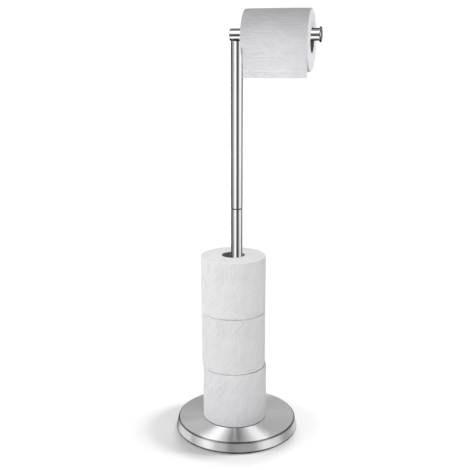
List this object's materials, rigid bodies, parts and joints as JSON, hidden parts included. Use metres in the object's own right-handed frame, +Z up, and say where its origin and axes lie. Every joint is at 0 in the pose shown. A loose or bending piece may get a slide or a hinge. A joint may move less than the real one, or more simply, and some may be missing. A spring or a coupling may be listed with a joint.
{
  "type": "freestanding toilet paper holder",
  "caption": "Post on a weighted round base, with a level arm that carries a paper roll and spare rolls stacked around the post.",
  "frame": {"origin": "centre of the non-slip pad's underside, on the post's axis, where the holder meets the floor", "axes": "+Z up along the post, +X along the arm towards its free end, -Y towards the hanging sheet at the front"},
  "size_m": [0.2404, 0.211, 0.7096],
  "materials": {
    "base_pad": "matt non-slip rubber",
    "base_weight": "cast, black painted",
    "base_cover": "spun brushed stainless steel with circular grain",
    "base_bolt": "zinc-plated steel",
    "base_washer": "zinc-plated steel",
    "base_lock_washer": "zinc-plated steel",
    "lower_tube": "satin brushed stainless steel",
    "lower_tube_bottom_insert": "zinc-plated steel",
    "lower_tube_top_insert": "zinc-plated steel",
    "seam_washer": "black nylon",
    "joint_stud": "zinc-plated steel",
    "upper_tube": "satin brushed stainless steel",
    "upper_tube_bottom_insert": "zinc-plated steel",
    "upper_tube_top_plug": "satin brushed stainless steel",
    "arm_stud": "zinc-plated steel",
    "arm_tube": "satin brushed stainless steel",
    "arm_left_plug": "satin brushed stainless steel",
    "arm_end_disc": "polished stainless steel",
    "hanging_roll_paper": "soft white tissue",
    "hanging_roll_core": "raw grey-brown card",
    "hanging_sheet": "soft white tissue",
    "spare_bottom_paper": "soft white tissue",
    "spare_bottom_core": "raw grey-brown card",
    "spare_middle_paper": "soft white tissue",
    "spare_middle_core": "raw grey-brown card",
    "spare_top_paper": "soft white tissue",
    "spare_top_core": "raw grey-brown card"
  },
  "bodies": {
    "base": {"base_pad": "base_pad", "base_weight": "base_weight", "base_cover": "base_cover", "base_bolt": "base_bolt", "base_washer": "base_washer", "base_lock_washer": "base_lock_washer", "lower_tube": "lower_tube", "lower_tube_bottom_insert": "lower_tube_bottom_insert", "lower_tube_top_insert": "lower_tube_top_insert"},
    "seam": {"seam_washer": "seam_washer"},
    "upper_post": {"joint_stud": "joint_stud", "upper_tube": "upper_tube", "upper_tube_bottom_insert": "upper_tube_bottom_insert", "upper_tube_top_plug": "upper_tube_top_plug", "arm_stud": "arm_stud", "arm_tube": "arm_tube", "arm_left_plug": "arm_left_plug", "arm_end_disc": "arm_end_disc"},
    "loose_sheet": {"hanging_sheet": "hanging_sheet"},
    "hanging_roll": {"hanging_roll_paper": "hanging_roll_paper", "hanging_roll_core": "hanging_roll_core"},
    "spare_bottom": {"spare_bottom_paper": "spare_bottom_paper", "spare_bottom_core": "spare_bottom_core"},
    "spare_middle": {"spare_middle_paper": "spare_middle_paper", "spare_middle_core": "spare_middle_core"},
    "spare_top": {"spare_top_paper": "spare_top_paper", "spare_top_core": "spare_top_core"}
  },
  "joints": [
    {"name": "post_rise", "type": "slide", "parent": "base", "child": "seam", "axis": [0, 0, 1], "range_m": [0, 0.0117]},
    {"name": "post_turn", "type": "hinge", "parent": "seam", "child": "upper_post", "pos_m": [0, 0, 0.391], "axis": [0, 0, 1], "range_deg": [0, 2790]},
    {"name": "roll_slide", "type": "slide", "parent": "upper_post", "child": "loose_sheet", "axis": [1, 0, 0], "range_m": [-0.0065, 0.0115]},
    {"name": "roll_spin", "type": "hinge", "parent": "loose_sheet", "child": "hanging_roll", "pos_m": [0.0678, 0, 0.6613], "axis": [1, 0, 0], "continuous": true},
    {"name": "spare_bottom_lift", "type": "slide", "parent": "base", "child": "spare_bottom", "axis": [0, 0, 1], "range_m": [0, 0.09]},
    {"name": "spare_middle_lift", "type": "slide", "parent": "spare_bottom", "child": "spare_middle", "axis": [0, 0, 1], "range_m": [0, 0.09]},
    {"name": "spare_top_lift", "type": "slide", "parent": "spare_middle", "child": "spare_top", "axis": [0, 0, 1], "range_m": [0, 0.09]}
  ],
  "couplings": [
    {"joint": "post_rise", "follows": "post_turn", "m_per_rad": 0.00023873}
  ]
}
